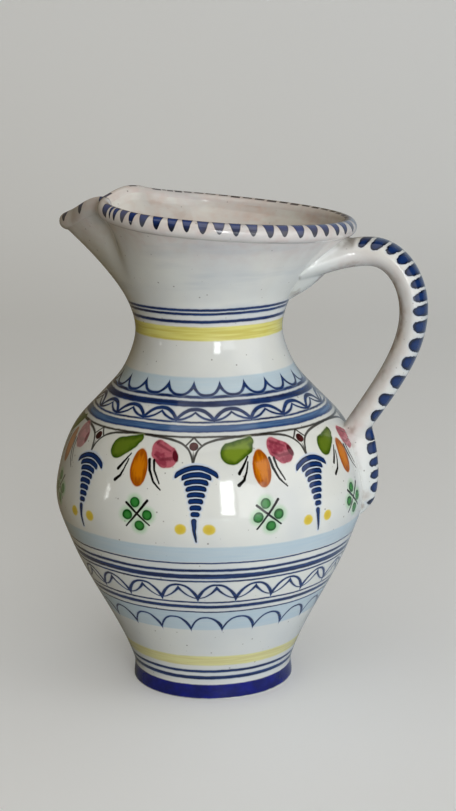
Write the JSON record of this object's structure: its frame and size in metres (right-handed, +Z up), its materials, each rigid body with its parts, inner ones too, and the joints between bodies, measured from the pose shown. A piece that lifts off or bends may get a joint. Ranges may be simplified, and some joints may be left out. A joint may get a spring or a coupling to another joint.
{
  "type": "clay water pitcher",
  "caption": "Round-bellied glazed clay pitcher with a flat foot, narrow neck, flared mouth with a rolled rim and pinched beak, and a pulled strap handle, for holding and pouring water.",
  "frame": {"origin": "centre of the foot's flat underside, on the axis of the turned body", "axes": "+Z up along the turned body's axis, -X towards the beak, +X towards the handle, +Y across the pitcher"},
  "size_m": [0.1893, 0.159, 0.2506],
  "materials": {
    "body_glaze": "glossy white tin glaze with hand-painted bands, fruit and flowers",
    "collar_glaze": "glossy white tin glaze with blue lines at the neck and blue strokes on the rim",
    "strap_glaze": "glossy pinkish white tin glaze with a row of blue brush strokes",
    "upper_wad_glaze": "glossy white tin glaze over smeared clay",
    "lower_wad_glaze": "glossy white tin glaze over thumbed clay, with small blue strokes"
  },
  "bodies": {
    "root": {"body": "body_glaze", "mouth_collar": "collar_glaze", "handle_strap": "strap_glaze", "upper_wad": "upper_wad_glaze", "lower_wad": "lower_wad_glaze"}
  },
  "joints": []
}
